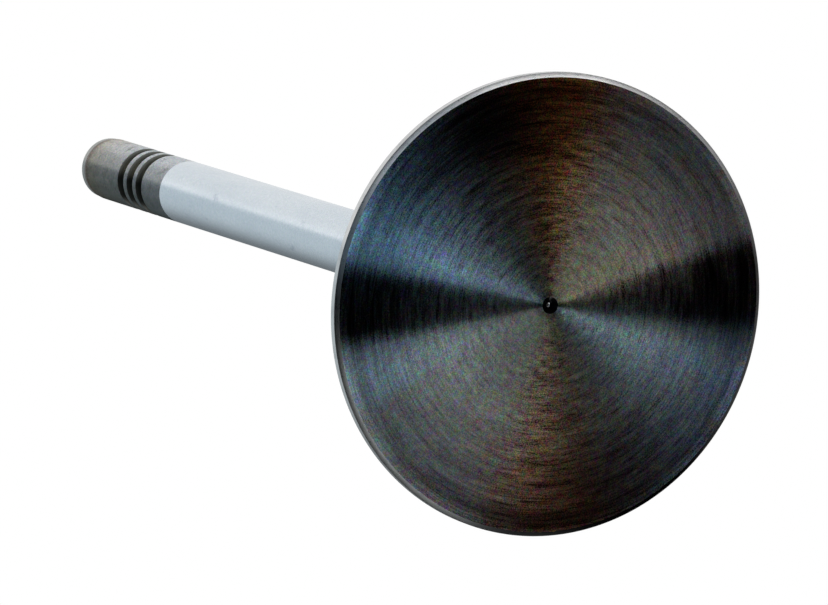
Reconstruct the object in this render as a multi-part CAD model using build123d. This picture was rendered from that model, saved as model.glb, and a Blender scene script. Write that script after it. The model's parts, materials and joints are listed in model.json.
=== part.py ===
from build123d import *
import os
from math import cos, radians, tan

# Engine valve: one forged and turned piece, in millimetres. It stands on the face of its head. The origin is
# the centre of that face and +Z runs up the stem to the tip. The whole shape is one section turned about Z.

# Head
head_diameter = 54.0
face_chamfer_width = 0.47       # how far the chamfer comes in over the face
face_chamfer_height = 0.26      # how far it climbs the margin
margin_height = 0.92            # cylindrical rim between the chamfer and the seat
seat_width = 2.2                # radial width of the seat cone
seat_angle = 45.0               # degrees from the face's plane
back_angle = 20.0               # the cone behind the seat, degrees from the face's plane
neck_radius = 14.0              # fillet that blends the back cone into the stem

# Centre mark left in the face by the lathe's centre
centre_mark_diameter = 2.0
centre_mark_angle = 60.0        # full angle of its cone, degrees

# Stem
overall_length = 137.8
stem_diameter = 8.0

# Keeper grooves, round-bottomed, counted down from the tip
groove_count = 3
first_groove_from_tip = 14.2
groove_pitch = 3.08
groove_opening = 2.0            # width at the stem's surface
groove_depth = 0.65

# Hardened tip, ground slightly under the stem
tip_land_length = 2.1
tip_land_relief = 0.1           # taken off the stem's radius
tip_chamfer = 0.5

head_radius = head_diameter / 2
stem_radius = stem_diameter / 2


def blank_section():
    """Half section of the valve, without its grooves."""
    margin_bottom = face_chamfer_height
    seat_bottom = margin_bottom + margin_height
    seat_top = seat_bottom + seat_width * tan(radians(seat_angle))
    seat_inner_radius = head_radius - seat_width
    back_run = seat_inner_radius - stem_radius
    neck_corner = (stem_radius, seat_top + back_run * tan(radians(back_angle)))
    mark_radius = centre_mark_diameter / 2
    mark_depth = mark_radius / tan(radians(centre_mark_angle / 2))
    tip_radius = stem_radius - tip_land_relief
    tip_land_bottom = overall_length - tip_land_length
    outline = Polyline(
        (0, mark_depth),
        (mark_radius, 0),
        (head_radius - face_chamfer_width, 0),
        (head_radius, margin_bottom),
        (head_radius, seat_bottom),
        (seat_inner_radius, seat_top),
        neck_corner,
        (stem_radius, tip_land_bottom),
        (tip_radius, tip_land_bottom),
        (tip_radius, overall_length - tip_chamfer),
        (tip_radius - tip_chamfer, overall_length),
        (0, overall_length),
        close=True,
    )
    section = make_face(outline)
    # The fillet reaches along the back cone by its radius over the tangent of half the corner.
    half_corner = radians((90 + back_angle) / 2)
    longest_reach = back_run / cos(radians(back_angle))
    blend_radius = min(neck_radius, longest_reach * tan(half_corner))
    corner = section.vertices().sort_by_distance(neck_corner)[0]
    return fillet(corner, blend_radius)


def groove_section():
    """Round section of one keeper groove, centred on the stem's axial place 0."""
    half_opening = groove_opening / 2
    radius = (half_opening**2 + groove_depth**2) / (2 * groove_depth)
    return Pos(stem_radius + radius - groove_depth, 0) * Circle(radius)


def valve():
    section = blank_section()
    for index in range(groove_count):
        height = overall_length - first_groove_from_tip - index * groove_pitch
        section -= Pos(0, height) * groove_section()
    return revolve(Plane.XZ * section, axis=Axis.Z)


body = valve()
body.label = "valve"
os.makedirs("parts", exist_ok=True)
export_step(body, "parts/valve.step")
print("valve volume mm3", round(body.volume, 1), "box", body.bounding_box())
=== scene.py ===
import json
import math

import bpy
from mathutils import Matrix, Vector


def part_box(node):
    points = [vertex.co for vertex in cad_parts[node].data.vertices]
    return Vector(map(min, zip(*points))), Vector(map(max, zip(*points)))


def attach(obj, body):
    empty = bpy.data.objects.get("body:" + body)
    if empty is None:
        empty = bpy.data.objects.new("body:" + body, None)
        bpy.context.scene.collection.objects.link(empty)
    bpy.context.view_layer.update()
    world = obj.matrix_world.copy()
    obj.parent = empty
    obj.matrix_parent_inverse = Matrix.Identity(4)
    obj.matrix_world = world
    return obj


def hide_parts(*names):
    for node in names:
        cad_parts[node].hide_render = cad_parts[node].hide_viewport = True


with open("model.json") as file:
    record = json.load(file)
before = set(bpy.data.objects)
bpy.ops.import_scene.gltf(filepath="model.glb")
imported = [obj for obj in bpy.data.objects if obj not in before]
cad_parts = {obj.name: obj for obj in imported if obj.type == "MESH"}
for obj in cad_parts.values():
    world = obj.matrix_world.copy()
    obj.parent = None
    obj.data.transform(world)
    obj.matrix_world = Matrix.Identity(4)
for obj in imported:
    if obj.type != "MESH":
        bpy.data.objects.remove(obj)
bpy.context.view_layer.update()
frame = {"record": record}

# An engine valve standing on the face of its head, +Z up the stem. Blender works in metres, and the sizes
# below are in millimetres times MM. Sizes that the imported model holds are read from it.
MM = 0.001
NODE = "valve"
MOUNTS = {mount["name"]: mount for mount in frame["record"]["mounts"]}

LOW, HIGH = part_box(NODE)
HEAD_RADIUS = (HIGH[0] - LOW[0]) / 2
OVERALL_LENGTH = HIGH[2] - LOW[2]
STEM_RADIUS = MOUNTS["stem"]["dims"]["r_mm"] * MM

# Sizes of the turned section, by the names of the lathe's inputs
SECTION_SIZES = {
    "Head Radius": HEAD_RADIUS,
    "Overall Length": OVERALL_LENGTH,
    "Stem Radius": STEM_RADIUS,
    "Face Chamfer Width": 0.56 * MM,
    "Face Chamfer Height": 0.31 * MM,
    "Margin Height": 0.92 * MM,
    "Seat Width": 2.2 * MM,
    "Seat Rise": 2.2 * MM,    # as much as its width, because the seat lies at 45 degrees
    "Back Slope": math.tan(math.radians(20)),
    "Neck Radius": 14.0 * MM,
    "Plating Start": 30.0 * MM,
    "Plating End": 110.2 * MM,
    "First Groove From Tip": 14.2 * MM,
    "Groove Pitch": 3.08 * MM,
    "Groove Opening": 2.0 * MM,
    "Groove Depth": 0.65 * MM,
    "Groove Lip Radius": 0.12 * MM,
    "Tip Land Length": 2.1 * MM,
    "Tip Land Relief": 0.1 * MM,
    "Tip Chamfer": 0.5 * MM,
    "Mark Radius": 1.0 * MM,
    "Mark Depth": 0.7 * MM,
    "Mark Bottom": 0.2 * MM,
    "Edge Radius": 0.06 * MM,
    "Margin Edge Radius": 0.1 * MM,
    "Turning Depth": 0.004 * MM,
    "Turning Pitch": 0.3 * MM,
}
SECTION_COUNTS = {"Segments": 256, "Face Rings": 200}
GROOVE_COUNT = 3
GROOVE_WALL_SLOPE = math.sqrt(3)    # the groove's walls leave the stem at 60 degrees

# Camera: the face's centre in the frame, the valve's axis seen from below, and what it sees in metres
FRAME_WIDTH_PX = 828
FRAME_HEIGHT_PX = 605
FACE_CENTRE_PX = (550.26, 305.40)
HEAD_RADIUS_PX = 234.15
FOCAL_PX = 8328.0
SENSOR_WIDTH_MM = 36.0
AXIS_IN_VIEW = Vector((-0.40306, 0.13000, -0.90590))    # right, up and towards the camera

CLIP_START = 0.05
CLIP_END = 50.0

# Small distances
HAIR = 0.01 * MM                    # too small to see
TOUCHING = 0.001 * MM               # points closer than this are one point
LEAST_RADIUS = 0.1 * MM             # patterns that divide by the radius divide by this on the axis

# Finishes
FACE_ROUGHNESS = 0.285
FACE_RELIEF = 0.012 * MM
WHITE = (1.0, 1.0, 1.0)
GREY = (0.5, 0.5, 0.5)
BLACK = (0.0, 0.0, 0.0)

# Studio
BRIGHT_SIDE = 0.82
BRIGHT_CREST = 0.92
LAMP_DISTANCE = 1.2
FLOOR_SIZE = 30.0
FLOOR_GAP = 0.02 * MM               # keeps the floor clear of the face that stands on it
FOOT_CLEARANCE = 6.0 * MM
FLOOR_FADE_START = 0.06             # from here to the next distance the seen floor turns plain white
FLOOR_FADE_END = 0.5
FLOOR_BRIGHT_AZIMUTH = 20.0         # the side where polished metal sees the floor brightest, in degrees


class Graph:
    """One node tree, with short ways to add nodes and join them."""

    def __init__(self, tree):
        self.tree = tree

    def add(self, kind, inputs=None, **settings):
        """Adds a node, sets its options and fills its inputs by name or number."""
        node = self.tree.nodes.new(kind)
        for name, value in settings.items():
            setattr(node, name, value)
        for key, value in (inputs or {}).items():
            self.fill(node.inputs[key], value)
        return node

    def fill(self, socket, value):
        """Joins a socket or a Number to an input, or writes a plain value on it."""
        if isinstance(value, Number):
            value = value.socket
        if isinstance(value, bpy.types.NodeSocket):
            self.tree.links.new(value, socket)
        else:
            socket.default_value = value

    def math(self, operation, *terms):
        """A Math node on numbers."""
        node = self.add("ShaderNodeMath", dict(enumerate(terms)), operation=operation)
        return Number(self, node.outputs[0])

    def vector(self, operation, *terms):
        """A Vector Math node on places or colours."""
        node = self.add("ShaderNodeVectorMath", dict(enumerate(terms)), operation=operation)
        return node.outputs[0]

    def number(self, socket):
        """A socket that arithmetic works on."""
        return Number(self, socket)


class Number:
    """A number in a node tree. Arithmetic on it adds Math nodes."""

    def __init__(self, graph, socket):
        self.graph = graph
        self.socket = socket

    def __add__(self, other):
        return self.graph.math("ADD", self, other)

    def __sub__(self, other):
        return self.graph.math("SUBTRACT", self, other)

    def __rsub__(self, other):
        return self.graph.math("SUBTRACT", other, self)

    def __mul__(self, other):
        return self.graph.math("MULTIPLY", self, other)

    def __truediv__(self, other):
        return self.graph.math("DIVIDE", self, other)

    def __rtruediv__(self, other):
        return self.graph.math("DIVIDE", other, self)

    def __gt__(self, other):
        return self.graph.math("GREATER_THAN", self, other)

    def __lt__(self, other):
        return self.graph.math("LESS_THAN", self, other)


# ---------------------------------------------------------------- the turned body


def section_corners(size):
    """Corners of the half section from the centre mark to the tip: radius, height, rounding, arc steps."""
    edge = size["Edge Radius"]
    chamfer_top = size["Face Chamfer Height"]
    seat_bottom = chamfer_top + size["Margin Height"]
    seat_top = seat_bottom + size["Seat Rise"]
    seat_inner = size["Head Radius"] - size["Seat Width"]
    neck_corner = seat_top + (seat_inner - size["Stem Radius"]) * size["Back Slope"]
    stem = size["Stem Radius"]
    mark_rounding = size["Mark Bottom"] * 1.3
    seat_rounding = edge * 3
    tip_rounding = edge * 2
    corners = [
        (0.0, size["Mark Depth"], 0.0, 1),
        (size["Mark Bottom"], size["Mark Depth"], mark_rounding, 8),
        (size["Mark Radius"], 0.0, edge, 3),
        (size["Head Radius"] - size["Face Chamfer Width"], 0.0, edge, 3),
        (size["Head Radius"], chamfer_top, size["Margin Edge Radius"], 6),
        (size["Head Radius"], seat_bottom, edge, 3),
        (seat_inner, seat_top, seat_rounding, 3),
        (stem, neck_corner, size["Neck Radius"], 28),
        (stem, size["Plating Start"], 0.0, 1),
        (stem, size["Plating End"], 0.0, 1),
    ]
    half_opening = size["Groove Opening"] / 2
    wall_meeting = half_opening * GROOVE_WALL_SLOPE
    bottom_radius = wall_meeting - size["Groove Depth"]
    first_groove = size["Overall Length"] - size["First Groove From Tip"]
    for place in reversed(range(GROOVE_COUNT)):
        middle = first_groove - size["Groove Pitch"] * place
        corners += [
            (stem, middle - half_opening, size["Groove Lip Radius"], 4),
            (stem - wall_meeting, middle, bottom_radius, 12),
            (stem, middle + half_opening, size["Groove Lip Radius"], 4),
        ]
    land_bottom = size["Overall Length"] - size["Tip Land Length"]
    land_radius = stem - size["Tip Land Relief"]
    corners += [
        (stem, land_bottom, edge, 3),
        (land_radius, land_bottom, 0.0, 1),
        (land_radius, size["Overall Length"] - size["Tip Chamfer"], tip_rounding, 3),
        (land_radius - size["Tip Chamfer"], size["Overall Length"], tip_rounding, 3),
        (0.0, size["Overall Length"], 0.0, 1),
    ]
    return corners


def chosen_by_index(graph, data_type, values):
    """A field that gives each point of the section its own value."""
    switch = graph.add("GeometryNodeIndexSwitch", data_type=data_type)
    while len(switch.index_switch_items) < len(values):
        switch.index_switch_items.new()
    graph.fill(switch.inputs["Index"], graph.add("GeometryNodeInputIndex").outputs[0])
    for place, value in enumerate(values):
        graph.fill(switch.inputs[place + 1], value)
    return switch.outputs[0]


def section_curve(graph, size):
    """The half section as a curve in the XZ plane, with its corners rounded."""
    corners = section_corners(size)
    points = [graph.add("ShaderNodeCombineXYZ", {0: r, 2: z}).outputs[0] for r, z, _, _ in corners]
    line = graph.add("GeometryNodeMeshLine", {"Count": len(corners)})
    shaped = graph.add(
        "GeometryNodeSetPosition",
        {"Geometry": line.outputs[0], "Position": chosen_by_index(graph, "VECTOR", points)},
    )
    curve = graph.add("GeometryNodeMeshToCurve", {"Mesh": shaped.outputs[0]})
    rounded = graph.add(
        "GeometryNodeFilletCurve",
        {
            "Curve": curve.outputs[0],
            "Radius": chosen_by_index(graph, "FLOAT", [corner[2] for corner in corners]),
            "Count": chosen_by_index(graph, "INT", [corner[3] for corner in corners]),
            "Limit Radius": True,
        },
        mode="POLY",
    )
    return rounded.outputs[0]


def place_on_section(graph):
    """Radius and height of the point or face at hand."""
    xyz = graph.add("ShaderNodeSeparateXYZ", {0: graph.add("GeometryNodeInputPosition").outputs[0]})
    x, y, z = (graph.number(socket) for socket in xyz.outputs)
    return graph.math("SQRT", x * x + y * y), z


def turned_face_rings(graph, curve, size):
    """Cuts the face's run into rings and gives them the shallow waves that the tool left."""
    radius, height = place_on_section(graph)
    flat = height < TOUCHING
    run_start = flat * (radius < size["Head Radius"] / 2)
    cut = graph.add("GeometryNodeSubdivideCurve", {"Curve": curve, "Cuts": run_start * size["Face Rings"]})
    waves = graph.add(
        "ShaderNodeTexNoise",
        {"W": radius / size["Turning Pitch"], "Scale": 1.0, "Detail": 3.0, "Roughness": 0.6},
        noise_dimensions="1D",
    )
    lift = flat * size["Turning Depth"] * graph.number(waves.outputs[0])
    offset = graph.add("ShaderNodeCombineXYZ", {2: lift}).outputs[0]
    moved = graph.add("GeometryNodeSetPosition", {"Geometry": cut.outputs[0], "Offset": offset})
    return moved.outputs[0]


def turn_section(graph, curve, segments):
    """Turns the section round Z: a grid whose columns are the section at each angle."""
    count = graph.add("GeometryNodeAttributeDomainSize", {"Geometry": curve}, component="CURVE")
    points = graph.number(count.outputs["Point Count"])
    grid = graph.add(
        "GeometryNodeMeshGrid",
        {"Size X": 1.0, "Size Y": 1.0, "Vertices X": points, "Vertices Y": segments + 1},
    )
    xyz = graph.add("ShaderNodeSeparateXYZ", {0: graph.add("GeometryNodeInputPosition").outputs[0]})
    along = (graph.number(xyz.outputs[0]) + 0.5) * (points - 1)
    # The section is turned clockwise, so that the faces point outwards.
    angle = (graph.number(xyz.outputs[1]) + 0.5) * -math.tau
    sampled = graph.add(
        "GeometryNodeSampleIndex",
        {
            "Geometry": curve,
            "Value": graph.add("GeometryNodeInputPosition").outputs[0],
            "Index": graph.math("ROUND", along),
        },
        data_type="FLOAT_VECTOR",
    )
    section = graph.add("ShaderNodeSeparateXYZ", {0: sampled.outputs[0]})
    radius = graph.number(section.outputs[0])
    x = radius * graph.math("COSINE", angle)
    y = radius * graph.math("SINE", angle)
    turned = graph.add("ShaderNodeCombineXYZ", {0: x, 1: y, 2: section.outputs[2]})
    body = graph.add(
        "GeometryNodeSetPosition", {"Geometry": grid.outputs[0], "Position": turned.outputs[0]}
    )
    closed = graph.add("GeometryNodeMergeByDistance", {"Geometry": body.outputs[0], "Distance": TOUCHING})
    smooth = graph.add("GeometryNodeSetShadeSmooth", {"Geometry": closed.outputs[0]})
    return graph.add("GeometryNodeRealizeInstances", {"Geometry": smooth.outputs[0]}).outputs[0]


def finish_zones(graph, mesh, size, finishes):
    """Gives each zone its finish. Each row takes over from the rows above it."""
    radius, height = place_on_section(graph)
    everywhere = height > -1.0
    above_face = height > HAIR
    by_rim = above_face * (radius > size["Head Radius"] / 2)
    seat_top = size["Face Chamfer Height"] + size["Margin Height"] + size["Seat Rise"]
    land_bottom = size["Overall Length"] - size["Tip Land Length"] - HAIR
    below_surface = radius < size["Stem Radius"] - 4 * HAIR
    by_tip = (height > size["Overall Length"] / 2) * (height < land_bottom)
    zones = [
        (finishes["turned_face"], everywhere),
        (finishes["centre_mark"], above_face * (radius < size["Mark Radius"])),
        (finishes["ground_rim"], by_rim),
        (finishes["turned_chamfer"], by_rim * (height < size["Face Chamfer Height"])),
        (finishes["dark_neck"], height > seat_top - HAIR),
        (finishes["plated_stem"], height > size["Plating Start"]),
        (finishes["ground_tip"], height > size["Plating End"]),
        (finishes["keeper_groove"], below_surface * by_tip),
        (finishes["tip_land"], height > land_bottom),
    ]
    for material, selection in zones:
        painted = graph.add(
            "GeometryNodeSetMaterial", {"Geometry": mesh, "Selection": selection, "Material": material}
        )
        mesh = painted.outputs[0]
    return mesh


def lathe_tree(finishes):
    """Geometry Nodes: rounded section, turned face, turned body, finishes."""
    tree = bpy.data.node_groups.new("turned_valve", "GeometryNodeTree")
    for name in SECTION_SIZES:
        tree.interface.new_socket(name, in_out="INPUT", socket_type="NodeSocketFloat")
    for name in SECTION_COUNTS:
        tree.interface.new_socket(name, in_out="INPUT", socket_type="NodeSocketInt")
    tree.interface.new_socket("Mesh", in_out="OUTPUT", socket_type="NodeSocketGeometry")
    graph = Graph(tree)
    given = graph.add("NodeGroupInput")
    size = {socket.name: graph.number(socket) for socket in given.outputs if socket.name}
    curve = section_curve(graph, size)
    curve = turned_face_rings(graph, curve, size)
    mesh = turn_section(graph, curve, size["Segments"])
    mesh = finish_zones(graph, mesh, size, finishes)
    graph.add("NodeGroupOutput", {"Mesh": mesh})
    return tree


def turned_valve(finishes):
    """The valve's visible body as a plain mesh."""
    tree = lathe_tree(finishes)
    raw = bpy.data.objects.new("valve_lathe", bpy.data.meshes.new("valve_lathe"))
    bpy.context.collection.objects.link(raw)
    lathe = raw.modifiers.new("lathe", "NODES")
    lathe.node_group = tree
    values = {**SECTION_SIZES, **SECTION_COUNTS}
    for item in tree.interface.items_tree:
        if item.item_type == "SOCKET" and item.in_out == "INPUT":
            lathe[item.identifier] = values[item.name]
    normals = raw.modifiers.new("flat runs stay flat", "WEIGHTED_NORMAL")
    normals.mode = "FACE_AREA"
    normals.weight = 100
    graph = bpy.context.evaluated_depsgraph_get()
    turned = raw.evaluated_get(graph)
    mesh = bpy.data.meshes.new_from_object(turned, preserve_all_data_layers=True, depsgraph=graph)
    bpy.data.objects.remove(raw)
    mesh.name = "valve_body"
    body = bpy.data.objects.new("valve_body", mesh)
    bpy.context.collection.objects.link(body)
    return body


# ---------------------------------------------------------------- finishes


def new_material(name):
    """An empty node material and its graph."""
    material = bpy.data.materials.new(name)
    material.use_nodes = True
    material.node_tree.nodes.clear()
    return material, Graph(material.node_tree)


def group_tree(name, inputs, outputs):
    """A shader node group with float or colour sockets; returns its graph and its input sockets."""
    tree = bpy.data.node_groups.new(name, "ShaderNodeTree")
    kinds = {"float": "NodeSocketFloat", "colour": "NodeSocketColor"}
    for socket_name, kind, default in inputs:
        socket = tree.interface.new_socket(socket_name, in_out="INPUT", socket_type=kinds[kind])
        socket.default_value = default
    for socket_name, kind in outputs:
        tree.interface.new_socket(socket_name, in_out="OUTPUT", socket_type=kinds[kind])
    graph = Graph(tree)
    return graph, graph.add("NodeGroupInput").outputs


def lathe_grain_group():
    """Fine marks that run round the axis, with a fleck of colour in each, and the distance from the axis."""
    graph, given = group_tree(
        "lathe_grain",
        [("Marks Per Millimetre", "float", 5.0), ("Marks Round", "float", 12.0), ("Detail", "float", 3.0)],
        [("Grain", "float"), ("Flecks", "colour"), ("Radius", "float")],
    )
    place = graph.add("ShaderNodeTexCoord").outputs["Object"]
    xyz = graph.add("ShaderNodeSeparateXYZ", {0: place})
    x, y, z = (graph.number(socket) for socket in xyz.outputs)
    radius = graph.math("SQRT", x * x + y * y)
    # Radius less height changes along every run of the section, the seat's cone included.
    across = (radius - z) * (1 / MM) * graph.number(given["Marks Per Millimetre"])
    reach = graph.number(given["Marks Round"]) / graph.math("MAXIMUM", radius, LEAST_RADIUS)
    vector = graph.add("ShaderNodeCombineXYZ", {0: x * reach, 1: y * reach, 2: across}).outputs[0]
    noise = graph.add(
        "ShaderNodeTexNoise", {"Vector": vector, "Scale": 1.0, "Detail": given["Detail"], "Roughness": 0.6}
    )
    graph.add("NodeGroupOutput", {"Grain": noise.outputs[0], "Flecks": noise.outputs[1], "Radius": radius})


def clouds_group():
    """Soft patches for films, stains and grime: 0 on clean metal, 1 in a patch."""
    graph, given = group_tree(
        "clouds",
        [
            ("Patch Size", "float", 5.0),
            ("Stretch Along Axis", "float", 1.0),
            ("Cover", "float", 0.5),
            ("Softness", "float", 0.15),
            ("Seed", "float", 0.0),
        ],
        [("Mask", "float")],
    )
    place = graph.add("ShaderNodeTexCoord").outputs["Object"]
    along = 1.0 / graph.number(given["Stretch Along Axis"])
    stretch = graph.add("ShaderNodeCombineXYZ", {0: 1.0, 1: 1.0, 2: along}).outputs[0]
    noise = graph.add(
        "ShaderNodeTexNoise",
        {
            "Vector": graph.vector("MULTIPLY", place, stretch),
            "W": given["Seed"],
            "Scale": 1.0 / (graph.number(given["Patch Size"]) * MM),
            "Detail": 4.0,
            "Roughness": 0.62,
        },
        noise_dimensions="4D",
    )
    edge = 1.0 - graph.number(given["Cover"])
    softness = graph.number(given["Softness"])
    mask = graph.add(
        "ShaderNodeMapRange",
        {"Value": noise.outputs[0], "From Min": edge - softness, "From Max": edge + softness},
        interpolation_type="SMOOTHSTEP",
    )
    graph.add("NodeGroupOutput", {"Mask": mask.outputs[0]})


def speckle_group():
    """Tiny spots of light, dark and tint, the same in every direction."""
    graph, given = group_tree(
        "speckle", [("Spot Size", "float", 0.2)], [("Level", "float"), ("Tint", "colour")]
    )
    place = graph.add("ShaderNodeTexCoord").outputs["Object"]
    scale = 1.0 / (graph.number(given["Spot Size"]) * MM)
    noise = graph.add(
        "ShaderNodeTexNoise", {"Vector": place, "Scale": scale, "Detail": 2.0, "Roughness": 0.7}
    )
    graph.add("NodeGroupOutput", {"Level": noise.outputs[0], "Tint": noise.outputs[1]})


def speckle(graph, spot_size):
    """Spots of the given size in millimetres: how light each is, and its tint."""
    spots = graph.add(
        "ShaderNodeGroup", {"Spot Size": spot_size}, node_tree=bpy.data.node_groups["speckle"]
    )
    return graph.number(spots.outputs["Level"]), spots.outputs["Tint"]


def grain(graph, per_millimetre, round_axis, detail=3.0):
    """Lathe marks: how light each is, its flecks of colour, and the distance from the axis."""
    marks = graph.add(
        "ShaderNodeGroup",
        {"Marks Per Millimetre": per_millimetre, "Marks Round": round_axis, "Detail": detail},
        node_tree=bpy.data.node_groups["lathe_grain"],
    )
    level, radius = (graph.number(marks.outputs[name]) for name in ("Grain", "Radius"))
    return level, marks.outputs["Flecks"], radius


def clouds(graph, patch_size, cover, softness=0.15, stretch=1.0, seed=0.0):
    """A mask of soft patches of the given size in millimetres."""
    patches = graph.add(
        "ShaderNodeGroup",
        {
            "Patch Size": patch_size,
            "Stretch Along Axis": stretch,
            "Cover": cover,
            "Softness": softness,
            "Seed": seed,
        },
        node_tree=bpy.data.node_groups["clouds"],
    )
    return graph.number(patches.outputs[0])


def tinted(graph, colour, factor):
    """A colour times a number."""
    return graph.add("ShaderNodeVectorMath", {0: colour, 3: factor}, operation="SCALE").outputs[0]


def blend(graph, mask, below, above):
    """The colour below, covered by the colour above where the mask is 1."""
    mix = graph.add("ShaderNodeMix", {0: mask}, data_type="RGBA")
    for place, colour in ((6, below), (7, above)):
        if isinstance(colour, tuple):
            colour = (*colour, 1.0)
        graph.fill(mix.inputs[place], colour)
    return mix.outputs[2]


def uneven(level, strength):
    """A factor near 1 that follows a pattern's level, which lies around 0.5."""
    return (level - 0.5) * strength + 1.0


def flecked(graph, colour, flecks, strength):
    """Shifts a colour a little towards a pattern's own flecks of red, green and blue."""
    shift = tinted(graph, graph.vector("SUBTRACT", flecks, GREY), strength)
    shifted = graph.vector("MULTIPLY", colour, graph.vector("ADD", shift, WHITE))
    return graph.vector("MAXIMUM", shifted, BLACK)


def steps(graph, value, stops):
    """A level that eases from one (position, level) stop to the next."""
    ramp = graph.add("ShaderNodeValToRGB", {0: value})
    elements = ramp.color_ramp.elements
    ramp.color_ramp.interpolation = "EASE"
    while len(elements) < len(stops):
        elements.new(0.5)
    for element, (position, level) in zip(elements, stops):
        element.position = position
        element.color = (level, level, level, 1.0)
    return graph.number(ramp.outputs[0])


def along_axis(graph):
    """Height up the axis in metres."""
    place = graph.add("ShaderNodeTexCoord").outputs["Object"]
    return graph.number(graph.add("ShaderNodeSeparateXYZ", {0: place}).outputs[2])


def metal_surface(graph, colour, roughness, anisotropic=0.0, height=None, relief=0.0):
    """The Principled shader of one finish. Anisotropic draws its highlight out across the lathe marks."""
    metal = graph.add(
        "ShaderNodeBsdfPrincipled", {"Base Color": colour, "Metallic": 1.0, "Roughness": roughness}
    )
    if anisotropic:
        metal.inputs["Anisotropic"].default_value = anisotropic
        metal.inputs["Anisotropic Rotation"].default_value = 0.25
        tangent = graph.add("ShaderNodeTangent", direction_type="RADIAL", axis="Z")
        graph.fill(metal.inputs["Tangent"], tangent.outputs[0])
    if height is not None:
        bump = graph.add("ShaderNodeBump", {"Height": height, "Strength": 1.0, "Distance": relief})
        graph.fill(metal.inputs["Normal"], bump.outputs[0])
    graph.add("ShaderNodeOutputMaterial", {"Surface": metal.outputs[0]})


def azimuth_share(graph, radius, azimuth):
    """The cosine of the angle between a point's azimuth and the given one, in degrees."""
    place = graph.add("ShaderNodeSeparateXYZ", {0: graph.add("ShaderNodeTexCoord").outputs["Object"]})
    x, y = (graph.number(socket) for socket in place.outputs[:2])
    turn = math.radians(azimuth)
    return (x * math.cos(turn) + y * math.sin(turn)) / graph.math("MAXIMUM", radius, LEAST_RADIUS)


def facing(graph, radius, azimuth):
    """The azimuth share on the half that faces the given azimuth, and 0 on the other half."""
    return graph.math("MAXIMUM", azimuth_share(graph, radius, azimuth), 0.0)


def face_films(graph, radius, share, cool_side, warm_side):
    """Bare steel under thin films: warm by the centre, bluish by the rim, and patchy all over. The blue on
    one side and its narrow bright blue edge are painted sheen.
    """
    warm = warm_side * warm_side * (1.0 - share) * 0.9
    rim_film = steps(graph, share, [(0.70, 0.0), (0.93, 0.7)])
    greenish = clouds(graph, 2.0, 0.5, 0.12, seed=31.0) * 0.6
    rusty = clouds(graph, 3.5, 0.56, 0.14, seed=15.0) * share * 0.7
    bluish = clouds(graph, 3.0, 0.56, 0.14, seed=21.0) * share * 0.6
    # Painted sheen: blue on the side facing azimuths 228 to 276, strongest toward the rim, and a narrow
    # bright blue edge at azimuth 237
    faint_blue = graph.math("POWER", facing(graph, radius, 228.0), 4.0) * 0.25
    blue = graph.math("POWER", cool_side, 4.0) * share * share * 1.4 + faint_blue
    cold_edge = steps(graph, azimuth_share(graph, radius, 237.0), [(0.972, 0.0), (0.994, 1.0)])
    cold_edge = cold_edge * steps(graph, share, [(0.1, 0.0), (0.5, 0.25), (0.85, 0.8), (1.0, 0.35)])
    films = [
        (warm, (0.46, 0.40, 0.26)),
        (rim_film, (0.30, 0.38, 0.48)),
        (greenish, (0.39, 0.47, 0.37)),
        (rusty, (0.50, 0.33, 0.22)),
        (bluish, (0.26, 0.38, 0.56)),
        (blue, (0.35, 0.53, 0.65)),
        (cold_edge, (0.42, 0.66, 0.88)),
    ]
    steel = (0.42, 0.445, 0.42)
    for mask, film in films:
        steel = blend(graph, mask, steel, film)
    return steel


def painted_brown_sheen(graph, radius, share):
    """Painted brown sheen in two opposite streaks, broken into patches: where it lies, and its colour."""
    side = azimuth_share(graph, radius, 160.0)
    patches = clouds(graph, 7.0, 0.55, 0.3, seed=3.0)
    streaks = graph.math("POWER", side * side, 8.0)
    streaks = streaks * steps(graph, share, [(0.0, 0.1), (0.12, 0.35), (0.3, 0.7), (0.9, 1.0)])
    streaks = streaks * (patches * 0.4 + 0.75) * (1.0 - side * 0.2)
    by_rim = steps(graph, share, [(0.4, 0.0), (0.9, 1.0)])
    return streaks, blend(graph, by_rim, (0.54, 0.31, 0.13), (0.53, 0.22, 0.06))


def painted_dark_zones(graph, radius, share):
    """Painted dark reflection: heavy on one side, light on the opposite one, and a dark arc along part of
    the rim.
    """
    heavy = graph.math("POWER", facing(graph, radius, 321.0), 5.5)
    heavy = heavy * steps(graph, share, [(0.0, 0.3), (0.25, 0.55), (0.5, 0.66), (0.8, 0.97), (0.95, 0.93)])
    light = graph.math("POWER", facing(graph, radius, 141.0), 12.0)
    light = light * steps(graph, share, [(0.0, 0.0), (0.25, 0.05), (0.5, 0.30), (0.8, 0.70), (0.95, 0.5)])
    by_rim = graph.math("POWER", facing(graph, radius, 155.0), 3.0)
    by_rim = by_rim * steps(graph, share, [(0.84, 0.0), (0.93, 0.8)])
    return graph.math("MAXIMUM", heavy, graph.math("MAXIMUM", light, by_rim))


def painted_dark_wedges(graph, radius, share, coarse):
    """Two opposite wedges of painted dark reflection, black at the rim and thin at the centre."""
    narrow = steps(graph, azimuth_share(graph, radius, 253.5), [(0.975, 0.0), (0.994, 1.0)])
    wide = steps(graph, azimuth_share(graph, radius, 68.0), [(0.966, 0.0), (0.991, 1.0)])
    wedges = (narrow + wide) * (1.15 - coarse * 0.4)
    return wedges * steps(graph, share, [(0.15, 0.1), (0.35, 0.5), (0.5, 0.80), (0.8, 0.99)])


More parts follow.
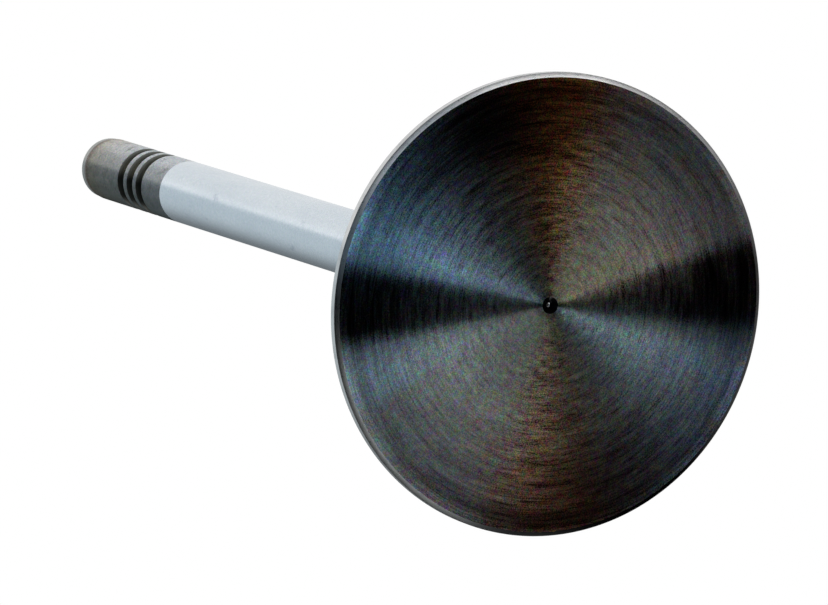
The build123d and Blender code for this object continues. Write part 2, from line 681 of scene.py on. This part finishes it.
def turned_face_finish():
    """Dark turned steel: rings of tool marks under films, with painted brown sheen, painted dark reflection
    in broad zones and in two opposite wedges, and painted highlight and shade by sector.
    """
    material, graph = new_material("turned_face")
    fine, _, radius = grain(graph, 6.0, 6.0)
    coarse, _, _ = grain(graph, 1.5, 3.0)
    rings, _, _ = grain(graph, 8.0, 2.0)
    spots, spot_tint = speckle(graph, 0.16)
    _, patch_tint = speckle(graph, 0.6)
    share = radius / HEAD_RADIUS
    sheen_side = azimuth_share(graph, radius, 230.0)
    highlight_side = facing(graph, radius, 100.0)
    cool_side = facing(graph, radius, 276.0)
    warm_side = facing(graph, radius, 32.0)

    brown, brown_tone = painted_brown_sheen(graph, radius, share)
    blackening = painted_dark_zones(graph, radius, share)
    dark_wedges = painted_dark_wedges(graph, radius, share, coarse)
    steel = face_films(graph, radius, share, cool_side, warm_side)
    # Painted brown sheen in two opposite streaks
    steel = blend(graph, brown, steel, brown_tone)
    # Painted dark reflection in broad zones, near black
    steel = blend(graph, blackening, steel, (0.010, 0.012, 0.016))
    # Painted dark reflection in two opposite wedges, near black
    steel = blend(graph, dark_wedges, steel, (0.012, 0.009, 0.010))

    by_centre = [(0.0, 0.40), (0.045, 0.50), (0.08, 0.88), (0.3, 0.92), (0.5, 1.0)]
    by_rim = [(0.65, 0.77), (0.8, 0.52), (0.93, 0.40), (0.955, 0.6), (0.98, 0.8)]
    lightness = steps(graph, share, by_centre + by_rim)
    # Painted highlight and shade: lighter near the rim on the sides facing azimuths 230 and 100, darker
    # opposite 230, reversed near the centre
    painted_sheen = sheen_side * (share * 0.7 - 0.25) + highlight_side * highlight_side * share * share * 0.6
    # Where the painted brown sheen and painted dark reflections lie; the marks show coarser there
    overlaid = graph.math("MAXIMUM", brown * 1.3, graph.math("MAXIMUM", blackening, dark_wedges))
    coarseness = share * 0.4 + overlaid * 2.3 + cool_side * 0.5 - sheen_side * sheen_side * 0.5 + 1.15
    coarseness = coarseness + (highlight_side + warm_side) * 0.4
    marks = (fine - 0.5) * 1.1 + (coarse - 0.5) * 0.9 + (spots - 0.5) * 1.6
    texture = graph.math("MAXIMUM", marks * coarseness + 1.0, 0.08)
    sheened = tinted(graph, steel, lightness * (painted_sheen + 1.0) * texture)
    spotted = flecked(graph, sheened, spot_tint, overlaid * 0.8 + 1.9)
    colour = flecked(graph, spotted, patch_tint, overlaid + 1.9)
    roughness = (fine - 0.5) * 0.02 + FACE_ROUGHNESS
    metal_surface(graph, colour, roughness, anisotropic=1.0, height=rings, relief=FACE_RELIEF)
    return material


def turned_chamfer_finish():
    """The narrow chamfer round the face: painted highlight on one side and painted shade on the other, with
    grime patches.
    """
    material, graph = new_material("turned_chamfer")
    marks, flecks, radius = grain(graph, 10.0, 30.0)
    grime = clouds(graph, 2.5, 0.45, 0.2, seed=12.0)
    # Painted highlight toward azimuth -20, painted shade on the opposite half, darkest around azimuth 148
    bright_side = azimuth_share(graph, radius, -20.0) * 0.5 + 0.5
    on_dull_half = [(0.0, 0.07), (0.23, 0.14), (0.5, 0.12)]
    on_bright_half = [(0.655, 0.20), (0.83, 0.70), (0.96, 0.60), (0.99, 0.95)]
    bright = steps(graph, bright_side, on_dull_half + on_bright_half)
    bright = bright * steps(graph, azimuth_share(graph, radius, 148.0), [(0.70, 1.0), (0.93, 0.08)])
    rubbed = blend(graph, grime * 0.5, WHITE, (0.70, 0.70, 0.71))
    colour = flecked(graph, tinted(graph, rubbed, bright * uneven(marks, 0.4)), flecks, 0.3)
    metal_surface(graph, colour, (marks - 0.5) * 0.06 + 0.28)
    return material


def centre_mark_finish():
    """The drilled centre: walls painted dark as shade in the hole, and brighter metal painted at the bottom,
    where a lamp's reflection makes the glint.
    """
    material, graph = new_material("centre_mark")
    marks, _, _ = grain(graph, 8.0, 6.0)
    depth = along_axis(graph) / SECTION_SIZES["Mark Depth"]
    # Painted shade down the walls, near black, and brighter metal at the bottom for the glint
    level = steps(graph, depth, [(0.0, 0.10), (0.2, 0.04), (0.82, 0.03), (0.95, 0.3)])
    colour = tinted(graph, (1.0, 1.0, 1.02), level * uneven(marks, 0.3))
    metal_surface(graph, colour, 0.2)
    return material


def ground_rim_finish():
    """The ground margin and seat: bright, with fine marks round the rim and a little grime."""
    material, graph = new_material("ground_rim")
    marks, _, _ = grain(graph, 14.0, 60.0)
    grime = clouds(graph, 1.6, 0.38, 0.2, seed=5.0)
    bright = blend(graph, grime, (0.70, 0.71, 0.71), (0.48, 0.49, 0.50))
    colour = tinted(graph, bright, uneven(marks, 0.5))
    roughness = (marks - 0.5) * 0.15 + grime * 0.1 + 0.22
    metal_surface(graph, colour, roughness, anisotropic=0.5, height=marks, relief=0.0015 * MM)
    return material


def dark_neck_finish():
    """The forged back and neck: turned, dull and lightly stained."""
    material, graph = new_material("dark_neck")
    marks, flecks, _ = grain(graph, 1.2, 8.0, detail=5.0)
    stain = clouds(graph, 6.0, 0.5, 0.25, seed=7.0)
    dull = blend(graph, stain, (0.42, 0.42, 0.43), (0.30, 0.27, 0.25))
    colour = flecked(graph, tinted(graph, dull, uneven(marks, 0.9)), flecks, 0.4)
    roughness = stain * 0.1 + 0.36
    metal_surface(graph, colour, roughness, anisotropic=0.6, height=marks, relief=0.004 * MM)
    return material


def plated_stem_finish():
    """Satin hard plating: pale and cool, with a faint haze and a few smeared stains."""
    material, graph = new_material("plated_stem")
    marks, _, _ = grain(graph, 5.0, 8.0)
    haze = clouds(graph, 5.0, 0.5, 0.3, stretch=3.0, seed=11.0)
    smear = clouds(graph, 1.8, 0.31, 0.07, stretch=2.0, seed=2.0)
    spots, spot_tint = speckle(graph, 0.3)
    pale = blend(graph, haze, (0.775, 0.85, 0.905), (0.69, 0.77, 0.84))
    overlaid = blend(graph, smear, pale, (0.50, 0.57, 0.67))
    texture = (marks - 0.5) * 0.15 + (spots - 0.5) * 0.25 + 1.0
    colour = flecked(graph, tinted(graph, overlaid, texture), spot_tint, 0.2)
    metal_surface(graph, colour, haze * 0.06 + (marks - 0.5) * 0.08 + 0.2)
    return material


def ground_tip_finish():
    """Bare ground steel between the plating and the tip: painted shade darkens the side away from +X, with
    smudges and sooty spots, and it is warmer by its end.
    """
    material, graph = new_material("ground_tip")
    marks, _, radius = grain(graph, 6.0, 8.0)
    film = clouds(graph, 3.0, 0.5, 0.25, seed=4.0)
    smudge = clouds(graph, 2.2, 0.36, 0.08, seed=9.0)
    spots, spot_tint = speckle(graph, 0.25)
    across = azimuth_share(graph, radius, 0.0) * 0.5 + 0.5 + (film - 0.5) * 0.08
    # Painted shade: darker from the +X side round to the -X side
    darkened = steps(graph, across, [(0.16, 1.0), (0.33, 0.78), (0.5, 0.53), (0.67, 0.40), (0.845, 0.1)])
    warm_reach = 20.0 * MM
    from_end = (OVERALL_LENGTH - along_axis(graph)) / warm_reach
    warmth = steps(graph, from_end, [(0.1, 1.0), (0.45, 0.35), (0.8, 0.0)])
    # A patchy dark brown band just below the shoulder of the tip land
    shoulder_band_reach = 1.2 * MM
    shoulder = OVERALL_LENGTH - SECTION_SIZES["Tip Land Length"]
    to_shoulder = (shoulder - along_axis(graph)) / shoulder_band_reach
    shoulder_band = steps(graph, to_shoulder, [(0.0, 0.9), (0.3, 0.45), (1.0, 0.0)])
    shoulder_band = shoulder_band * (clouds(graph, 1.5, 0.5, 0.2) * 0.6 + 0.4)
    clean = blend(graph, warmth, (0.79, 0.83, 0.87), (0.73, 0.71, 0.64))
    shaded_tone = blend(graph, warmth, (0.155, 0.185, 0.190), (0.170, 0.170, 0.130))
    smudged = blend(graph, smudge * 0.6, blend(graph, darkened, clean, shaded_tone), (0.12, 0.13, 0.10))
    soot_side = steps(graph, across, [(0.05, 0.2), (0.2, 1.0), (0.38, 0.8), (0.6, 0.1)])
    soot_spots = clouds(graph, 1.3, 0.42, 0.12, seed=17.0) * soot_side
    sooted = blend(graph, soot_spots * 0.55, smudged, (0.06, 0.075, 0.06))
    banded = blend(graph, shoulder_band, sooted, (0.14, 0.07, 0.04))
    texture = (marks - 0.5) * 0.9 + (spots - 0.5) + 1.0
    colour = flecked(graph, tinted(graph, banded, texture), spot_tint, 1.0)
    roughness = (marks - 0.5) * 0.1 + film * 0.04 + 0.38
    metal_surface(graph, colour, roughness, anisotropic=1.0, height=marks, relief=0.003 * MM)
    return material


def keeper_groove_finish():
    """The keeper grooves: dark and oily with a sooty film, browner where it is thin, bare at the lips, and
    painted shade, near black, along one side.
    """
    material, graph = new_material("keeper_groove")
    marks, _, radius = grain(graph, 5.0, 6.0)
    film = clouds(graph, 2.2, 0.5, 0.25, seed=6.0)
    depth = (STEM_RADIUS - radius) / SECTION_SIZES["Groove Depth"]
    bare = steps(graph, depth, [(0.0, 0.9), (0.25, 0.45), (0.6, 0.12), (0.85, 0.0)])
    # Painted shade: near black on the side facing azimuth 238
    shaded_side = azimuth_share(graph, radius, 238.0) * 0.5 + 0.5
    painted_shade = steps(graph, shaded_side, [(0.90, 0.0), (0.98, 0.92)])
    blackening = blend(graph, film, (0.020, 0.023, 0.020), (0.08, 0.075, 0.05))
    darkened = blend(graph, bare, blackening, (0.40, 0.41, 0.38))
    darkened = blend(graph, painted_shade, darkened, (0.012, 0.014, 0.013))
    colour = tinted(graph, darkened, uneven(marks, 0.8))
    metal_surface(graph, colour, 0.46, anisotropic=0.4, height=marks, relief=0.002 * MM)
    return material


def tip_land_finish():
    """The hardened tip: grey-green steel with a dark brown band by its shoulder."""
    material, graph = new_material("tip_land")
    marks, _, _ = grain(graph, 5.0, 8.0)
    below_end = (OVERALL_LENGTH - along_axis(graph)) / SECTION_SIZES["Tip Land Length"]
    # Dark brown over the lower part of the land, by its shoulder
    shoulder_band = steps(graph, below_end, [(0.0, 0.0), (0.6, 0.0), (0.76, 0.85), (1.0, 0.95)])
    film = clouds(graph, 2.0, 0.5, 0.2, seed=8.0)
    bare = blend(graph, film, (0.50, 0.51, 0.50), (0.38, 0.40, 0.36))
    colour = tinted(graph, blend(graph, shoulder_band, bare, (0.12, 0.075, 0.055)), uneven(marks, 0.7))
    metal_surface(graph, colour, 0.34, anisotropic=0.4, height=marks, relief=0.002 * MM)
    return material


def make_finishes():
    """The three shared node groups, and then each finish by its name."""
    lathe_grain_group()
    clouds_group()
    speckle_group()
    return {
        "turned_face": turned_face_finish(),
        "turned_chamfer": turned_chamfer_finish(),
        "centre_mark": centre_mark_finish(),
        "ground_rim": ground_rim_finish(),
        "dark_neck": dark_neck_finish(),
        "plated_stem": plated_stem_finish(),
        "ground_tip": ground_tip_finish(),
        "keeper_groove": keeper_groove_finish(),
        "tip_land": tip_land_finish(),
    }


# ---------------------------------------------------------------- camera, floor and light


def add_camera():
    """A long lens that looks up at the face of the head, with the stem going away to the upper left."""
    data = bpy.data.cameras.new("camera")
    data.sensor_width = SENSOR_WIDTH_MM
    data.lens = FOCAL_PX * SENSOR_WIDTH_MM / FRAME_WIDTH_PX
    camera = bpy.data.objects.new("camera", data)
    bpy.context.collection.objects.link(camera)
    # The view's own axes in the valve's frame, with the view direction in the YZ plane
    axis = AXIS_IN_VIEW.normalized()
    tilt = math.hypot(axis.x, axis.y)
    level_up = Vector((0, axis.z, tilt))
    level_right = Vector((1, 0, 0))
    right = level_right * (axis.y / tilt) + level_up * (axis.x / tilt)
    up = level_up * (axis.y / tilt) - level_right * (axis.x / tilt)
    back = right.cross(up)
    distance = FOCAL_PX / HEAD_RADIUS_PX * HEAD_RADIUS
    per_px = distance / FOCAL_PX
    across = (FACE_CENTRE_PX[0] - FRAME_WIDTH_PX / 2) * per_px
    below = (FACE_CENTRE_PX[1] - FRAME_HEIGHT_PX / 2) * per_px
    place = back * distance - right * across + up * below
    rotation = Matrix((right, up, back)).transposed()
    camera.matrix_world = Matrix.Translation(place) @ rotation.to_4x4()
    data.clip_start = CLIP_START
    data.clip_end = CLIP_END
    bpy.context.scene.camera = camera


def add_softbox(name, azimuth, elevation, turn, width, height, radiance, colour=WHITE):
    """An area lamp aimed at the face's centre. Azimuth 0 is +X, 90 is +Y, and turn spins the lamp."""
    data = bpy.data.lights.new(name, "AREA")
    data.shape = "RECTANGLE"
    data.size = width
    data.size_y = height
    data.energy = radiance * math.pi * width * height
    data.color = colour
    lamp = bpy.data.objects.new(name, data)
    bpy.context.collection.objects.link(lamp)
    around, rise, spin = (math.radians(angle) for angle in (azimuth, elevation, turn))
    away = Vector((math.cos(around) * math.cos(rise), math.sin(around) * math.cos(rise), math.sin(rise)))
    level = Vector((0, 0, 1)).cross(away).normalized()
    upright = away.cross(level)
    side = level * math.cos(spin) + upright * math.sin(spin)
    top = upright * math.cos(spin) - level * math.sin(spin)
    rotation = Matrix((side, top, away)).transposed()
    lamp.matrix_world = Matrix.Translation(away * LAMP_DISTANCE) @ rotation.to_4x4()
    lamp.visible_camera = False


def add_lamps():
    """Lamps below the floor: three light the face and four light the rim."""
    add_softbox(
        "strip_by_camera", azimuth=270.6, elevation=-77.1, turn=95.9,
        width=1.545, height=0.071, radiance=1.99, colour=(0.71, 1.0, 1.26),
    )
    add_softbox(
        "left_softbox", azimuth=162.0, elevation=-40.8, turn=-134.9,
        width=0.331, height=1.900, radiance=3.09, colour=(0.95, 1.0, 1.0),
    )
    add_softbox(
        "left_strip", azimuth=145.5, elevation=-74.8, turn=-11.1,
        width=1.020, height=0.052, radiance=1.53, colour=(1.08, 1.0, 0.85),
    )
    add_softbox(
        "rim_strip", azimuth=14.7, elevation=-37.5, turn=29.2, width=1.119, height=0.147, radiance=1.9
    )
    add_softbox(
        "far_rim_strip", azimuth=56.0, elevation=-16.5, turn=24.0, width=0.730, height=0.147, radiance=0.8
    )
    add_softbox(
        "back_rim_strip", azimuth=91.0, elevation=-7.5, turn=0.0, width=0.600, height=0.080, radiance=0.8
    )
    add_softbox(
        "lower_rim_strip", azimuth=-41.0, elevation=-54.9, turn=18.2,
        width=0.803, height=0.147, radiance=1.2, colour=(0.9, 1.0, 1.1),
    )


def soft_step(graph, value, start, end, low, high):
    """Goes smoothly from low to high while the value goes from start to end."""
    if start > end:
        start, end, low, high = end, start, high, low
    step = graph.add(
        "ShaderNodeMapRange",
        {"Value": value, "From Min": start, "From Max": end, "To Min": low, "To Max": high},
        interpolation_type="SMOOTHSTEP",
    )
    return graph.number(step.outputs[0])


def add_world():
    """White for the camera. For the metal, a studio with a bright side at +X and a duller side at -X."""
    world = bpy.data.worlds.new("studio")
    world.use_nodes = True
    world.node_tree.nodes.clear()
    bpy.context.scene.world = world
    graph = Graph(world.node_tree)
    direction = graph.add("ShaderNodeTexCoord").outputs["Generated"]
    xyz = graph.add("ShaderNodeSeparateXYZ", {0: direction})
    x, y, z = xyz.outputs
    dull = soft_step(graph, y, 0.35, -0.35, 0.18, 0.6) * soft_step(graph, z, 0.3, 0.92, 0.35, 1.0)
    side = soft_step(graph, x, -0.05, 0.04, 0.0, 1.0)
    above = soft_step(graph, z, 0.0, 0.08, 0.0, 1.0)
    path = graph.add("ShaderNodeLightPath")
    to_camera = graph.number(path.outputs["Is Camera Ray"])
    tone = blend(graph, graph.math("MAXIMUM", side, to_camera), (0.94, 1.03, 1.08), WHITE)
    crest = soft_step(graph, x, 0.05, 0.22, BRIGHT_CREST, BRIGHT_SIDE)
    level = (side * crest + (1.0 - side) * dull) * above
    shown = graph.math("MAXIMUM", level, to_camera)
    light = graph.add("ShaderNodeBackground", {"Color": tone, "Strength": shown})
    graph.add("ShaderNodeOutputWorld", {"Surface": light.outputs[0]})


def add_floor():
    """A pale floor that is only there from above. Light for the face comes up through the spot under it.

    Polished metal sees it with painted light and shade, brightest out to +X, so that round shapes read as
    round.
    """
    mesh = bpy.data.meshes.new("floor")
    half = FLOOR_SIZE / 2
    mesh.from_pydata(
        [(-half, -half, 0), (half, -half, 0), (half, half, 0), (-half, half, 0)], [], [(0, 1, 2, 3)]
    )
    floor = bpy.data.objects.new("floor", mesh)
    floor.location.z = LOW[2] - FLOOR_GAP
    bpy.context.collection.objects.link(floor)
    material, graph = new_material("floor")
    path = graph.add("ShaderNodeLightPath")
    from_camera = graph.number(path.outputs["Is Camera Ray"])
    below = graph.number(graph.add("ShaderNodeNewGeometry").outputs["Backfacing"])
    place = graph.add("ShaderNodeTexCoord").outputs["Object"]
    distance = graph.number(graph.add("ShaderNodeVectorMath", {0: place}, operation="LENGTH").outputs[1])
    outside_foot = distance > HEAD_RADIUS + FOOT_CLEARANCE
    x, y, _ = graph.add("ShaderNodeSeparateXYZ", {0: place}).outputs
    turn = math.radians(FLOOR_BRIGHT_AZIMUTH)
    toward_bright = (graph.number(x) * math.cos(turn) + graph.number(y) * math.sin(turn)) / distance
    # Painted light and shade on the floor, seen only by polished metal
    lit = soft_step(graph, toward_bright, -0.1, 0.7, 0.35, 1.0)
    lit_behind = soft_step(graph, toward_bright, -0.80, -0.97, 0.35, 0.85)
    mirrored = graph.number(path.outputs["Is Glossy Ray"])
    shade = graph.math("MAXIMUM", graph.math("MAXIMUM", lit, lit_behind), 1.0 - mirrored)
    seen = (1.0 - below) * graph.math("MAXIMUM", from_camera, outside_foot)
    paint = graph.add("ShaderNodeBsdfDiffuse", {"Color": tinted(graph, (0.9, 0.9, 0.9), shade)})
    glow = graph.add("ShaderNodeEmission", {"Color": (1, 1, 1, 1), "Strength": 1.0})
    far = soft_step(graph, distance, FLOOR_FADE_START, FLOOR_FADE_END, 0.0, 1.0) * from_camera
    top = graph.add("ShaderNodeMixShader", {0: far, 1: paint.outputs[0], 2: glow.outputs[0]})
    clear = graph.add("ShaderNodeBsdfTransparent")
    surface = graph.add("ShaderNodeMixShader", {0: seen, 1: clear.outputs[0], 2: top.outputs[0]})
    graph.add("ShaderNodeOutputMaterial", {"Surface": surface.outputs[0]})
    mesh.materials.append(material)


add_camera()
add_world()
add_floor()
add_lamps()
valve = turned_valve(make_finishes())
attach(valve, "root")
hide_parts(NODE)
bpy.context.scene.view_settings.view_transform = "Standard"
